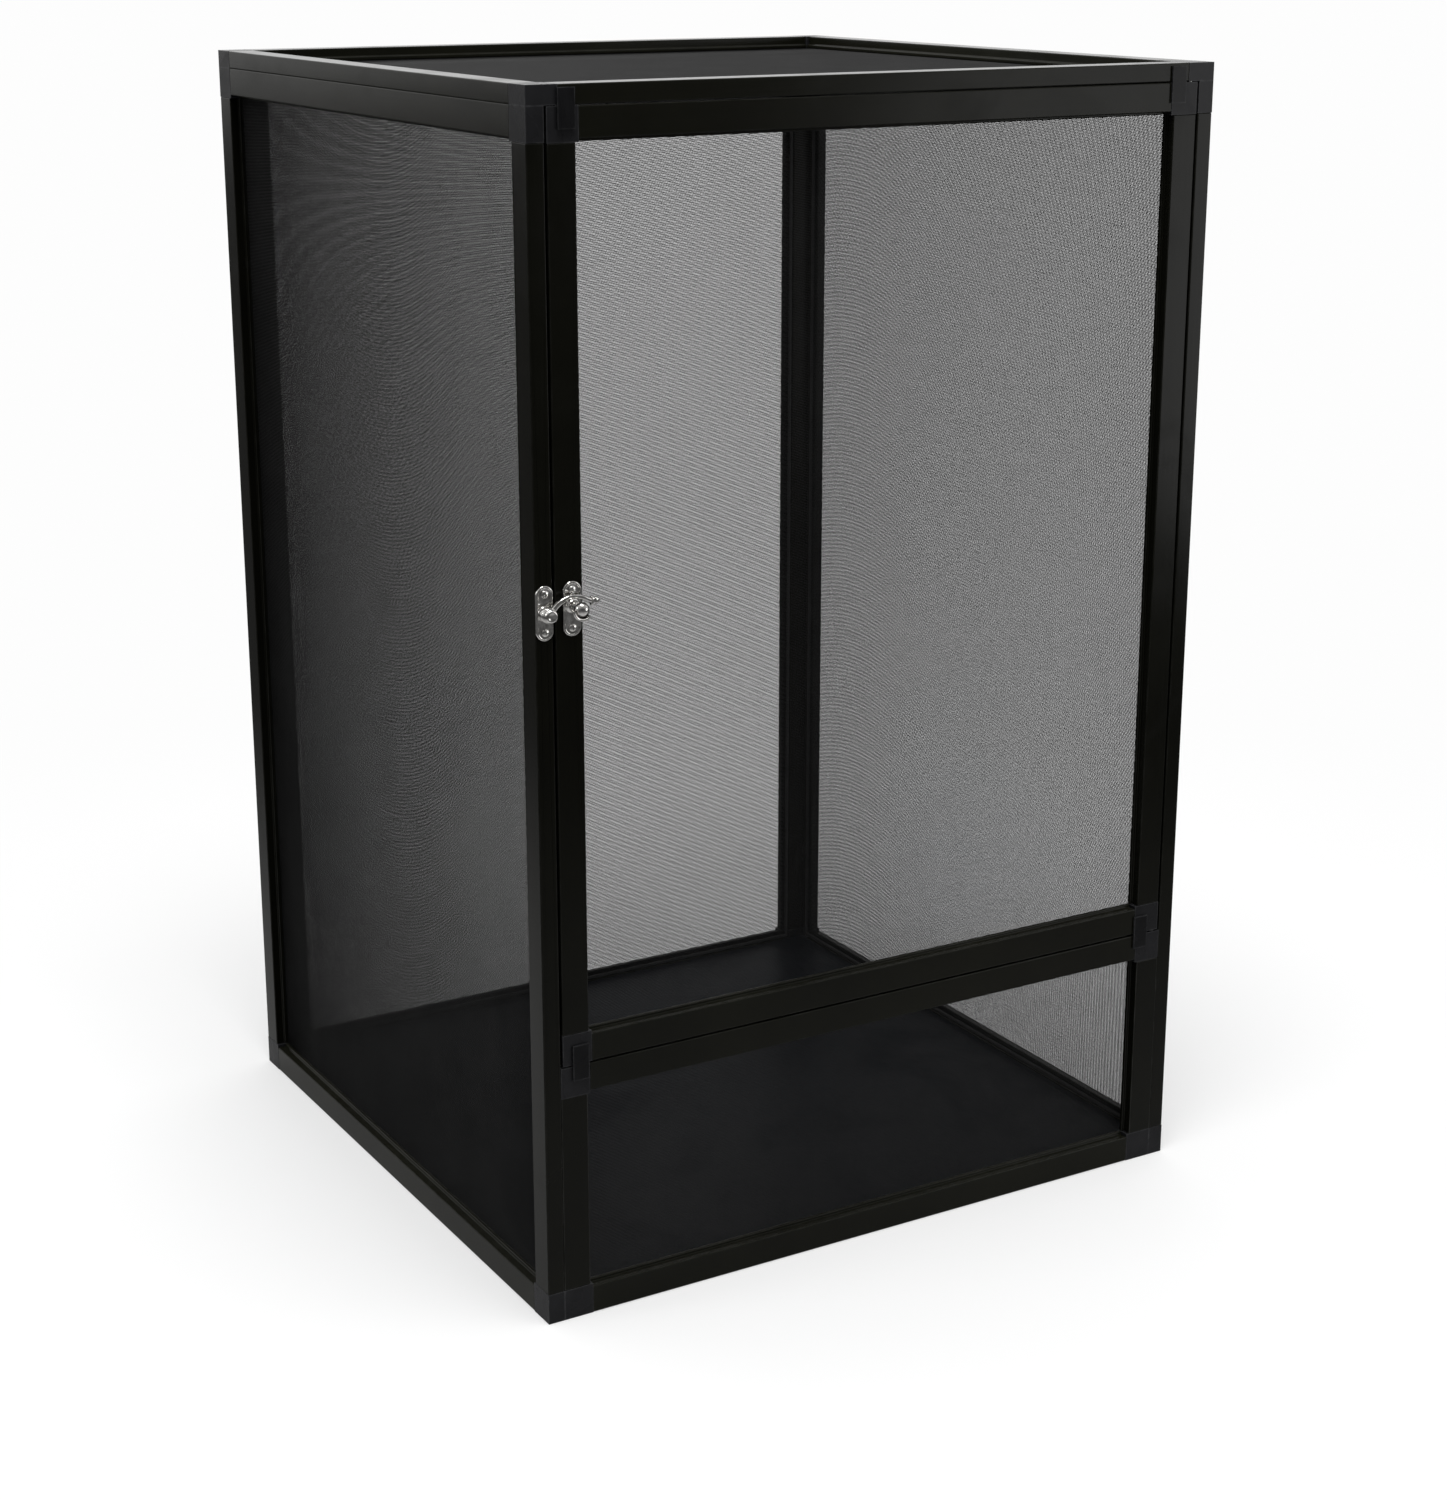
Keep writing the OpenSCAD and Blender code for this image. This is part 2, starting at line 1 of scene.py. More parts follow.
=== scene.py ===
"""Finishes, fine screens, latch, light and camera of the mesh reptile cage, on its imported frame."""

import math
import random

import bmesh
import bpy
from mathutils import Matrix, Vector


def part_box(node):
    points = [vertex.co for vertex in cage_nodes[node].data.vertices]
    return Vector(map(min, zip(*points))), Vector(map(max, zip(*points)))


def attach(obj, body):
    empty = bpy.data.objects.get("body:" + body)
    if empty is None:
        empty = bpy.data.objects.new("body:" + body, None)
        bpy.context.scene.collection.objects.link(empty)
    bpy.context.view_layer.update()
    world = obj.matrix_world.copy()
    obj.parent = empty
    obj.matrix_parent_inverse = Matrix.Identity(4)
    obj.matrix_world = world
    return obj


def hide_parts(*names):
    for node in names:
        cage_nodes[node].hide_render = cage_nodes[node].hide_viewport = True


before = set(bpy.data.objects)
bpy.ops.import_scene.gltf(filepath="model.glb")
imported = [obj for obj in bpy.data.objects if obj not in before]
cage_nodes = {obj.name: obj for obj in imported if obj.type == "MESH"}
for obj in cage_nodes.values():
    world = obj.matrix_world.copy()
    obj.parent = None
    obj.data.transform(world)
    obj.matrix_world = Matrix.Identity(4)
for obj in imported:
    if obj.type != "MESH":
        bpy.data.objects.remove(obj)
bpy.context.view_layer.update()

FRAMES = ("left", "right", "back", "top", "lower", "door")

# Screens, in metres
LEVEL_PITCH = 0.00125
UPRIGHT_PITCH = 0.00072
STRAND_WIDTH_SHARE = 0.28
STRAND_DEPTH_SHARE = 0.37
LAYER_SHARE = 0.25
STRAND_SIDES = 4
STRAND_SPANS = 6
STRAND_WOBBLE = 0.00004
SHORTEST_STRAND = 0.004
WEAVE_SEED = 11
# How far each weave lies off square in its frame, in degrees
WEAVE_LEAN = {"left": 4.0, "right": -4.0, "back": 4.0, "top": -4.0, "lower": 4.0, "door": -4.0}

# Softened edges, in metres
RAIL_EDGE = 0.0009
SPLINE_EDGE = 0.0008
KEY_EDGE = 0.0006
PLATE_EDGE = 0.0003
FLOOR_EDGE = 0.0008
EDGE_JOIN = 0.000002
# Angle in degrees from which an edge is softened, and the steps across it
SOFTEN_FROM = 35.0
PLAIN_STEPS = 2
ROUND_STEPS = 3
FLAT_FACE_WEIGHT = 100

# Latch, in millimetres: depths run out from the front of the cage
MM = 0.001
TURNED_SIDES = 48
AXIS_R = 0.05
LATCH_SHARP_FROM = 38.0

# Plates with round ends, a rolled rim and a dish; the section lists (inset, depth)
PLATE_T = 2.2
PLATE_RIM = 1.3
PLATE_FLOOR = PLATE_T - 0.5
PLATE_CORE = 0.6
PLATE_SINK = 0.4
PLATE_END_STEPS = 20
PLATE_SECTION = (
    (0.0, 0.0),
    (0.0, 0.6 * PLATE_T),
    (0.15, 0.82 * PLATE_T),
    (0.45, 0.96 * PLATE_T),
    (0.75, PLATE_T),
    (PLATE_RIM, 0.97 * PLATE_T),
    (PLATE_RIM + 0.3, PLATE_FLOOR + 0.12),
    (PLATE_RIM + 0.7, PLATE_FLOOR),
)

# Arm: an eye on the rivet, an arch and a collared point; the finial lists (along, height, depth)
ARM_BACK = 5.3
ARM_FRONT = 8.8
ARM_SIDES = 20
ARM_SQUARENESS = 0.55
ARM_WIDTH_SHARE = 0.88
ARM_TAPER = 0.18
EYE_R = 6.0
EYE_HOLE_R = 2.27
EYE_PROFILE = (
    (EYE_HOLE_R, ARM_BACK),
    (EYE_R - 0.5, ARM_BACK),
    (EYE_R, ARM_BACK + 0.5),
    (EYE_R, ARM_FRONT - 0.5),
    (EYE_R - 0.15, ARM_FRONT - 0.15),
    (EYE_R - 0.5, ARM_FRONT),
    (EYE_HOLE_R, ARM_FRONT),
)
ARCH_X = 21.0
ARCH_DROP = 9.5
ARCH_R = 23.3
ARCH_W = 4.5
ARCH_END = 50.0
ARCH_BEND = 13.0
ARCH_STEPS = 40
ARCH_STEPS_IN_EYE = 4
KNEE_STEPS = 8
COLLAR_HALF_W = 1.0
COLLAR_HALF_H = 3.65
POINT_LEN = 6.5
FINIAL = (
    (-COLLAR_HALF_W, 0.75 * COLLAR_HALF_H, 0.9),
    (0.2 - COLLAR_HALF_W, 0.93 * COLLAR_HALF_H, 0.97),
    (0.45 - COLLAR_HALF_W, COLLAR_HALF_H, 1.0),
    (COLLAR_HALF_W - 0.45, COLLAR_HALF_H, 1.0),
    (COLLAR_HALF_W - 0.2, 0.93 * COLLAR_HALF_H, 0.97),
    (COLLAR_HALF_W, 0.75 * COLLAR_HALF_H, 0.9),
    (COLLAR_HALF_W, 0.44 * COLLAR_HALF_H, 0.7),
    (COLLAR_HALF_W + 0.10 * POINT_LEN, 0.47 * COLLAR_HALF_H, 0.7),
    (COLLAR_HALF_W + 0.20 * POINT_LEN, 0.64 * COLLAR_HALF_H, 0.85),
    (COLLAR_HALF_W + 0.32 * POINT_LEN, 0.74 * COLLAR_HALF_H, 0.95),
    (COLLAR_HALF_W + 0.45 * POINT_LEN, 0.68 * COLLAR_HALF_H, 0.92),
    (COLLAR_HALF_W + 0.70 * POINT_LEN, 0.40 * COLLAR_HALF_H, 0.60),
    (COLLAR_HALF_W + 0.92 * POINT_LEN, 0.12 * COLLAR_HALF_H, 0.2),
    (COLLAR_HALF_W + POINT_LEN, 0.02 * COLLAR_HALF_H, 0.03),
)

# Rivet and the boss that it goes through; profiles list (radius, depth)
RIVET_R = 2.2
RIVET_HEAD_R = 5.8
RIVET_SEAT = ARM_FRONT + 0.3
RIVET_TOP = RIVET_SEAT + 5.0
RIVET_PROFILE = (
    (AXIS_R, 0.0),
    (RIVET_R, 0.0),
    (RIVET_R, RIVET_SEAT),
    (RIVET_HEAD_R - 0.4, RIVET_SEAT),
    (RIVET_HEAD_R, RIVET_SEAT + 0.4),
    (RIVET_HEAD_R, RIVET_SEAT + 1.3),
    (RIVET_HEAD_R - 0.2, RIVET_SEAT + 1.6),
    (RIVET_HEAD_R - 0.7, RIVET_SEAT + 1.8),
    (RIVET_HEAD_R - 0.7, RIVET_SEAT + 2.2),
    (RIVET_HEAD_R - 0.4, RIVET_SEAT + 2.5),
    (RIVET_HEAD_R - 0.5, RIVET_SEAT + 3.3),
    (RIVET_HEAD_R - 1.0, RIVET_TOP - 0.7),
    (RIVET_HEAD_R - 1.7, RIVET_TOP - 0.15),
    (RIVET_HEAD_R - 2.2, RIVET_TOP),
    (RIVET_HEAD_R - 2.9, RIVET_TOP - 0.2),
    (AXIS_R, RIVET_TOP - 0.5),
)
BOSS_R = 5.4
BOSS_HOLE_R = RIVET_R + 0.1
BOSS_TOP = 5.0
BOSS_PROFILE = (
    (BOSS_HOLE_R, PLATE_SINK),
    (BOSS_R + 0.5, PLATE_SINK),
    (BOSS_R + 0.5, PLATE_T + 0.2),
    (BOSS_R + 0.2, PLATE_T + 0.6),
    (BOSS_R - 0.7, PLATE_T + 0.8),
    (BOSS_R - 0.7, PLATE_T + 1.3),
    (BOSS_R - 0.1, PLATE_T + 1.6),
    (BOSS_R, PLATE_T + 2.1),
    (BOSS_R - 0.2, BOSS_TOP - 0.15),
    (BOSS_R - 0.6, BOSS_TOP),
    (BOSS_HOLE_R, BOSS_TOP),
)

# Pan-head screws; the rings of a head are shares of its radius
SCREW_GAP = 29.0
SCREW_R = 1.4
SCREW_LEN = 9.0
SCREW_SHANK = (
    (AXIS_R, -SCREW_LEN),
    (0.6 * SCREW_R, 0.8 - SCREW_LEN),
    (SCREW_R, 1.8 - SCREW_LEN),
    (SCREW_R, PLATE_FLOOR),
)
SCREW_HEAD_R = 3.0
SCREW_HEAD_RINGS = (1.0, 1.0, 0.97, 0.9, 0.8, 0.7, 0.6, 0.52, 0.44, 0.36, 0.28, 0.2, 0.12, 0.03)
SCREW_SEAT = PLATE_FLOOR - 0.05
SCREW_TOP = PLATE_T + 1.2
SCREW_DOME_SHARE = 0.93
SCREW_DOME_POWER = 2.4
RECESS_REACH = 0.6
RECESS_HALF_W = 0.34
RECESS_DEPTH = 0.75

# Catch: a stalk with a ball, and a flare below the ball
STALK_RISE = 3.6
STALK_R = 4.0
FOOT_R = 5.8
NECK_R = 3.4
STALK_PROFILE = (
    (AXIS_R, PLATE_SINK),
    (FOOT_R, PLATE_SINK),
    (FOOT_R, PLATE_T + 0.2),
    (FOOT_R - 0.25, PLATE_T + 0.6),
    (FOOT_R - 0.9, PLATE_T + 1.0),
    (STALK_R + 0.3, PLATE_T + 1.5),
    (STALK_R, PLATE_T + 2.2),
    (STALK_R, 9.6),
    (STALK_R + 0.25, 10.0),
    (STALK_R + 0.25, 10.5),
    (NECK_R, 11.0),
)
BALL_R = 5.8
BALL_DEPTH = 16.6
BALL_END = 177.0
BALL_STEPS = 16
FLARE_R = 7.5
FLARE_HALF_T = 0.45
FLARE_FROM = 180.0
FLARE_TURN = 140.0
FLARE_STEPS = 28
FLARE_SPINE = ((2.6, -5.3), (4.4, -4.6), (5.9, -3.0), (6.5, -1.0), (6.9, 0.8), (FLARE_R - 0.2, 1.9))
FLARE_ROLL_R = 1.2
FLARE_ROLL_DEPTH = BALL_R / 2.0
FLARE_ROLL_TURNS = (200, 165, 130, 95, 60, 25, -10, -45)

# Camera, in metres, with the picture's long side on the sensor
CAMERA_PLACE = (-1.1666, -2.0098, 1.0709)
CAMERA_RIGHT = (0.86090, -0.50877, 0.00011)
CAMERA_UP = (0.14228, 0.24096, 0.96005)
CAMERA_LENS = 64.77
CAMERA_SENSOR = 36.0
CAMERA_SHIFT_Y = -0.03

# Studio
WHITE = (1.0, 1.0, 1.0, 1.0)
STAGE_WHITE = 0.983
STAGE_PAPER = (0.94, 0.94, 0.94, 1.0)
STAGE_RADIUS = 14.0
STAGE_SIDES = 96
STAGE_DROP = 0.0004
STAGE_LIT_TO = 0.45
STAGE_PLAIN_FROM = 1.6
STAGE_NEAR_SHARE = 0.45
STAGE_BOUNCE = 0.12
STUDIO_SIDE = (0.25, 0.75, 0.60)
STUDIO_FALL = (-0.6, 0.75)
STUDIO_DIM = 0.07
STUDIO_BRIGHT = 1.05
# Softboxes, as (name, place, target, size, power in watts)
SOFTBOXES = (
    ("overhead softbox", (-0.3, -0.7, 2.9), (0.0, 0.0, 0.4), 1.0, 42.0),
    ("side softbox", (-2.6, 0.3, 1.6), (0.0, 0.0, 0.5), 0.7, 9.0),
    ("front softbox", (2.1, -2.1, 0.7), (0.1, -0.3, 0.5), 1.5, 15.0),
)

# Colours of dust and of paler edges: rubbed wear, with a painted edge highlight on the coat as well,
# and a painted rim highlight on the nickel
DUST_COLOUR = (0.16, 0.155, 0.14, 1.0)
COAT_WEAR_AND_HIGHLIGHT = (0.070, 0.070, 0.066, 1.0)
RUBBED_PLASTIC = (0.075, 0.076, 0.079, 1.0)
RUBBED_LAMINATE = (0.030, 0.034, 0.042, 1.0)
NICKEL_PAINTED_RIM_HIGHLIGHT = (0.93, 0.92, 0.90, 1.0)

# Spread of the draw lines along and across a length of extrusion
LINES_ALONG = 6.0
LINES_ACROSS = 1500.0

# The part of a noise's range that most of it lies in, and the range of a mask
NOISE_BAND = (0.3, 0.7)
MASK_RANGE = (0.0, 1.0)

# Socket kinds, and a Mix node's kind with its places for first, second and result
VALUE = "NodeSocketFloat"
COLOUR = "NodeSocketColor"
VECTOR = "NodeSocketVector"
VALUE_MIX = ("FLOAT", 2, 3, 0)
COLOUR_MIX = ("RGBA", 6, 7, 2)


def add_node(tree, kind, **values):
    """A shader node with some of its inputs set by name."""
    made = tree.nodes.new(kind)
    for name, value in values.items():
        made.inputs[name.replace("_", " ")].default_value = value
    return made


def start_group(name, inputs, outputs):
    """An empty node group with named sockets, given as (name, kind, value) and (name, kind)."""
    tree = bpy.data.node_groups.new(name, "ShaderNodeTree")
    for label, kind, value in inputs:
        socket = tree.interface.new_socket(name=label, in_out="INPUT", socket_type=kind)
        socket.default_value = value
    for label, kind in outputs:
        tree.interface.new_socket(name=label, in_out="OUTPUT", socket_type=kind)
    return tree, tree.nodes.new("NodeGroupInput"), tree.nodes.new("NodeGroupOutput")


def feed(tree, value, socket):
    """Gives an input a linked value, or a plain one."""
    if isinstance(value, bpy.types.NodeSocket):
        tree.links.new(value, socket)
    else:
        socket.default_value = value


def map_range(tree, source, band, wanted):
    """A clamped straight-line change of a value from one range to another."""
    made = add_node(
        tree,
        "ShaderNodeMapRange",
        From_Min=band[0],
        From_Max=band[1],
        To_Min=wanted[0],
        To_Max=wanted[1],
    )
    tree.links.new(source, made.inputs["Value"])
    return made.outputs["Result"]


def combine(tree, operation, first, second):
    """One value out of two."""
    made = tree.nodes.new("ShaderNodeMath")
    made.operation = operation
    tree.links.new(first, made.inputs[0])
    tree.links.new(second, made.inputs[1])
    return made.outputs["Value"]


def blend(tree, kind, share, first, second):
    """A mix of two values or of two colours, each a socket or a plain one."""
    data_type, first_at, second_at, result_at = kind
    made = tree.nodes.new("ShaderNodeMix")
    made.data_type = data_type
    tree.links.new(share, made.inputs["Factor"])
    feed(tree, first, made.inputs[first_at])
    feed(tree, second, made.inputs[second_at])
    return made.outputs[result_at]


def noise_over(tree, given, **values):
    """Noise over a piece's own space, at the group's Scale."""
    place = tree.nodes.new("ShaderNodeTexCoord")
    noise = add_node(tree, "ShaderNodeTexNoise", **values)
    tree.links.new(place.outputs["Object"], noise.inputs["Vector"])
    tree.links.new(given.outputs["Scale"], noise.inputs["Scale"])
    return noise.outputs["Fac"]


def cloudy_tone_group():
    """Two tones of a finish that drift into each other."""
    black = (0.0, 0.0, 0.0, 1.0)
    tree, given, out = start_group(
        "cloudy tone",
        [("Scale", VALUE, 10.0), ("Deep", COLOUR, black), ("Pale", COLOUR, black)],
        [("Color", COLOUR)],
    )
    cloud = noise_over(tree, given, Detail=4.0, Roughness=0.6)
    share = map_range(tree, cloud, NOISE_BAND, MASK_RANGE)
    colour = blend(tree, COLOUR_MIX, share, given.outputs["Deep"], given.outputs["Pale"])
    tree.links.new(colour, out.inputs["Color"])
    return tree


def draw_lines_group():
    """Fine lines along a drawn or extruded length; Stretch is small along the length."""
    tree, given, out = start_group(
        "draw lines",
        [("Stretch", VECTOR, (1.0, 1.0, 1.0))],
        [("Lines", VALUE)],
    )
    place = tree.nodes.new("ShaderNodeTexCoord")
    stretched = tree.nodes.new("ShaderNodeVectorMath")
    stretched.operation = "MULTIPLY"
    tree.links.new(place.outputs["Object"], stretched.inputs[0])
    tree.links.new(given.outputs["Stretch"], stretched.inputs[1])
    lines = add_node(tree, "ShaderNodeTexNoise", Scale=1.0, Detail=3.0, Roughness=0.65)
    tree.links.new(stretched.outputs["Vector"], lines.inputs["Vector"])
    tree.links.new(lines.outputs["Fac"], out.inputs["Lines"])
    return tree


def handling_marks_group():
    """Soft patches where hands have dulled the finish."""
    tree, given, out = start_group(
        "handling marks",
        [("Scale", VALUE, 12.0), ("Amount", VALUE, 0.5)],
        [("Mask", VALUE)],
    )
    patches = noise_over(tree, given, Detail=5.0, Roughness=0.55, Distortion=0.8)
    mask = map_range(tree, patches, band=(0.5, 0.72), wanted=MASK_RANGE)
    amount = combine(tree, "MULTIPLY", mask, given.outputs["Amount"])
    tree.links.new(amount, out.inputs["Mask"])
    return tree


def settled_dust_group():
    """Dust that lies on faces that look up."""
    tree, given, out = start_group(
        "settled dust",
        [("Scale", VALUE, 60.0), ("Amount", VALUE, 0.1)],
        [("Mask", VALUE)],
    )
    shape = tree.nodes.new("ShaderNodeNewGeometry")
    facing = tree.nodes.new("ShaderNodeSeparateXYZ")
    tree.links.new(shape.outputs["Normal"], facing.inputs["Vector"])
    upward = map_range(tree, facing.outputs["Z"], band=(0.6, 1.0), wanted=MASK_RANGE)
    specks = noise_over(tree, given, Detail=6.0, Roughness=0.7)
    spread = map_range(tree, specks, band=(0.42, 0.75), wanted=MASK_RANGE)
    lying = combine(tree, "MULTIPLY", upward, spread)
    amount = combine(tree, "MULTIPLY", lying, given.outputs["Amount"])
    tree.links.new(amount, out.inputs["Mask"])
    return tree


def moulded_grain_group():
    """The even fine grain of a moulded or rolled surface."""
    tree, given, out = start_group(
        "moulded grain",
        [("Scale", VALUE, 900.0)],
        [("Height", VALUE)],
    )
    grain = noise_over(tree, given, Detail=2.0, Roughness=0.5)
    tree.links.new(grain, out.inputs["Height"])
    return tree


def worn_and_highlit_edges_group():
    """Outer edges made paler in places, partly as rubbed wear and partly as a painted edge highlight;
    Reach is how far the pale band comes in from an edge.
    """
    tree, given, out = start_group(
        "worn and painted-highlight edges",
        [("Reach", VALUE, 0.0008), ("Scale", VALUE, 60.0), ("Amount", VALUE, 0.5)],
        [("Mask", VALUE)],
    )
    thinness = tree.nodes.new("ShaderNodeAmbientOcclusion")
    thinness.inside = True
    thinness.only_local = True
    thinness.samples = 6
    tree.links.new(given.outputs["Reach"], thinness.inputs["Distance"])
    edge_band = map_range(tree, thinness.outputs["AO"], band=(0.95, 0.65), wanted=MASK_RANGE)
    breaks = noise_over(tree, given, Detail=4.0, Roughness=0.6)
    patchy = map_range(tree, breaks, band=(0.35, 0.65), wanted=(0.15, 1.0))
    wear_and_highlight = combine(tree, "MULTIPLY", edge_band, patchy)
    amount = combine(tree, "MULTIPLY", wear_and_highlight, given.outputs["Amount"])
    tree.links.new(amount, out.inputs["Mask"])
    return tree


CLOUDY_TONE = cloudy_tone_group()
DRAW_LINES = draw_lines_group()
HANDLING_MARKS = handling_marks_group()
SETTLED_DUST = settled_dust_group()
MOULDED_GRAIN = moulded_grain_group()
WORN_AND_HIGHLIT_EDGES = worn_and_highlit_edges_group()


def place_group(tree, group, **values):
    """One of the shared effects, placed in a material with its own values."""
    made = tree.nodes.new("ShaderNodeGroup")
    made.node_tree = group
    for name, value in values.items():
        made.inputs[name].default_value = value
    return made


def start_finish(name, **values):
    """A material with a bare Principled shader; values are set on the shader's own sockets."""
    material = bpy.data.materials.new(name)
    material.use_nodes = True
    tree = material.node_tree
    shader = tree.nodes["Principled BSDF"]
    for label, value in values.items():
        shader.inputs[label.replace("_", " ")].default_value = value
    return material, tree, shader


def dust_wear_and_highlights(tree, shader, tone, dust, wear_and_highlight, wear_and_highlight_colour):
    """Base colour of a finish: its tone, dust on that, and paler edges over both, which are partly
    rubbed wear and partly a painted edge highlight.
    """
    dusty = blend(tree, COLOUR_MIX, dust.outputs["Mask"], tone.outputs["Color"], DUST_COLOUR)
    colour = blend(tree, COLOUR_MIX, wear_and_highlight.outputs["Mask"], dusty, wear_and_highlight_colour)
    tree.links.new(colour, shader.inputs["Base Color"])


def vary_roughness(tree, shader, source, band, roughness):
    tree.links.new(map_range(tree, source, band, roughness), shader.inputs["Roughness"])


def raise_surface(tree, shader, height, strength, distance):
    bump = add_node(tree, "ShaderNodeBump", Strength=strength, Distance=distance)
    tree.links.new(height, bump.inputs["Height"])
    tree.links.new(bump.outputs["Normal"], shader.inputs["Normal"])


def grey(value, blue=0.0):
    return (value, value, value * (1.0 + blue), 1.0)


def coated_aluminium(name, stretch, deep, pale):
    """Satin black coat on drawn aluminium; stretch sets the way the draw lines run, and deep and pale
    are the run's tones, with painted light and shade in them.
    """
    material, tree, shader = start_finish(name, Specular_IOR_Level=0.10)
    deep_black, pale_black = grey(deep, blue=-0.34), grey(pale, blue=-0.38)
    tone = place_group(tree, CLOUDY_TONE, Scale=9.0, Deep=deep_black, Pale=pale_black)
    dust = place_group(tree, SETTLED_DUST, Scale=130.0, Amount=0.05)
    lines = place_group(tree, DRAW_LINES, Stretch=stretch)
    marks = place_group(tree, HANDLING_MARKS, Scale=11.0, Amount=1.0)
    # Paler edges of the coat: rubbed wear, and a painted highlight along the edges
    wear_and_highlight = place_group(tree, WORN_AND_HIGHLIT_EDGES, Reach=0.0010, Scale=45.0, Amount=0.6)
    dust_wear_and_highlights(tree, shader, tone, dust, wear_and_highlight, COAT_WEAR_AND_HIGHLIGHT)
    satin = map_range(tree, lines.outputs["Lines"], band=NOISE_BAND, wanted=(0.15, 0.22))
    dulled = blend(tree, VALUE_MIX, marks.outputs["Mask"], first=satin, second=0.28)
    tree.links.new(dulled, shader.inputs["Roughness"])
    raise_surface(tree, shader, lines.outputs["Lines"], strength=0.25, distance=0.00006)
    return material


def moulded_plastic(name, deep, pale):
    """Black moulded plastic of the corner keys and the stop plates."""
    material, tree, shader = start_finish(name, Specular_IOR_Level=0.09)
    deep_black, pale_black = grey(deep, blue=0.08), grey(pale, blue=0.10)
    tone = place_group(tree, CLOUDY_TONE, Scale=30.0, Deep=deep_black, Pale=pale_black)
    dust = place_group(tree, SETTLED_DUST, Scale=130.0, Amount=0.06)
    grain = place_group(tree, MOULDED_GRAIN, Scale=1600.0)
    marks = place_group(tree, HANDLING_MARKS, Scale=26.0, Amount=1.0)
    wear_and_highlight = place_group(tree, WORN_AND_HIGHLIT_EDGES, Reach=0.0010, Scale=90.0, Amount=0.6)
    dust_wear_and_highlights(tree, shader, tone, dust, wear_and_highlight, RUBBED_PLASTIC)
    vary_roughness(tree, shader, marks.outputs["Mask"], band=MASK_RANGE, roughness=(0.26, 0.40))
    raise_surface(tree, shader, grain.outputs["Height"], strength=0.25, distance=0.00008)
    return material


def grained_black(name, gloss, cloud, deep, pale, grain, roughness, strength, distance):
    """A plain black finish with a fine grain; cloud and grain are the scales of its noises."""
    material, tree, shader = start_finish(name, Specular_IOR_Level=gloss)
    tone = place_group(tree, CLOUDY_TONE, Scale=cloud, Deep=grey(deep), Pale=grey(pale))
    height = place_group(tree, MOULDED_GRAIN, Scale=grain).outputs["Height"]
    tree.links.new(tone.outputs["Color"], shader.inputs["Base Color"])
    vary_roughness(tree, shader, height, NOISE_BAND, roughness)
    raise_surface(tree, shader, height, strength, distance)
    return material


def floor_laminate():
    """Dark blue-black laminate of the floor board."""
    material, tree, shader = start_finish("floor laminate", Specular_IOR_Level=0.09)
    deep_navy, pale_navy = (0.0020, 0.0030, 0.0056, 1.0), (0.0034, 0.0048, 0.0084, 1.0)
    tone = place_group(tree, CLOUDY_TONE, Scale=7.0, Deep=deep_navy, Pale=pale_navy)
    dust = place_group(tree, SETTLED_DUST, Scale=220.0, Amount=0.05)
    marks = place_group(tree, HANDLING_MARKS, Scale=8.0, Amount=1.0)
    grain = place_group(tree, MOULDED_GRAIN, Scale=420.0)
    wear_and_highlight = place_group(tree, WORN_AND_HIGHLIT_EDGES, Reach=0.0015, Scale=40.0, Amount=0.7)
    dust_wear_and_highlights(tree, shader, tone, dust, wear_and_highlight, RUBBED_LAMINATE)
    vary_roughness(tree, shader, marks.outputs["Mask"], band=MASK_RANGE, roughness=(0.42, 0.56))
    raise_surface(tree, shader, grain.outputs["Height"], strength=0.12, distance=0.0001)
    return material


def rolled_steel():
    """Bare rolled steel of the ledges, screws, dowels and pins."""
    material, tree, shader = start_finish("rolled steel", Metallic=1.0)
    tone = place_group(tree, CLOUDY_TONE, Scale=35.0, Deep=grey(0.36), Pale=grey(0.5))
    lines = place_group(tree, DRAW_LINES, Stretch=(40.0, 40.0, 1800.0))
    tree.links.new(tone.outputs["Color"], shader.inputs["Base Color"])
    vary_roughness(tree, shader, lines.outputs["Lines"], band=NOISE_BAND, roughness=(0.28, 0.46))
    raise_surface(tree, shader, lines.outputs["Lines"], strength=0.2, distance=0.00005)
    return material


def latch_nickel():
    """Polished nickel plate of the latch, a little dulled by handling."""
    material, tree, shader = start_finish("latch nickel", Metallic=1.0)
    deep_nickel, pale_nickel = (0.40, 0.39, 0.37, 1.0), (0.86, 0.85, 0.83, 1.0)
    tone = place_group(tree, CLOUDY_TONE, Scale=210.0, Deep=deep_nickel, Pale=pale_nickel)
    marks = place_group(tree, HANDLING_MARKS, Scale=220.0, Amount=1.0)
    lines = place_group(tree, DRAW_LINES, Stretch=(3200.0, 900.0, 500.0))
    # The latch's rims are painted a near-white nickel, a painted rim highlight, broken into patches
    # by the edge mask
    wear_and_highlight = place_group(tree, WORN_AND_HIGHLIT_EDGES, Reach=0.0006, Scale=300.0, Amount=0.9)
    mask = wear_and_highlight.outputs["Mask"]
    colour = blend(tree, COLOUR_MIX, mask, tone.outputs["Color"], NICKEL_PAINTED_RIM_HIGHLIGHT)
    tree.links.new(colour, shader.inputs["Base Color"])
    vary_roughness(tree, shader, marks.outputs["Mask"], band=MASK_RANGE, roughness=(0.05, 0.13))
    raise_surface(tree, shader, lines.outputs["Lines"], strength=0.08, distance=0.00004)
    return material


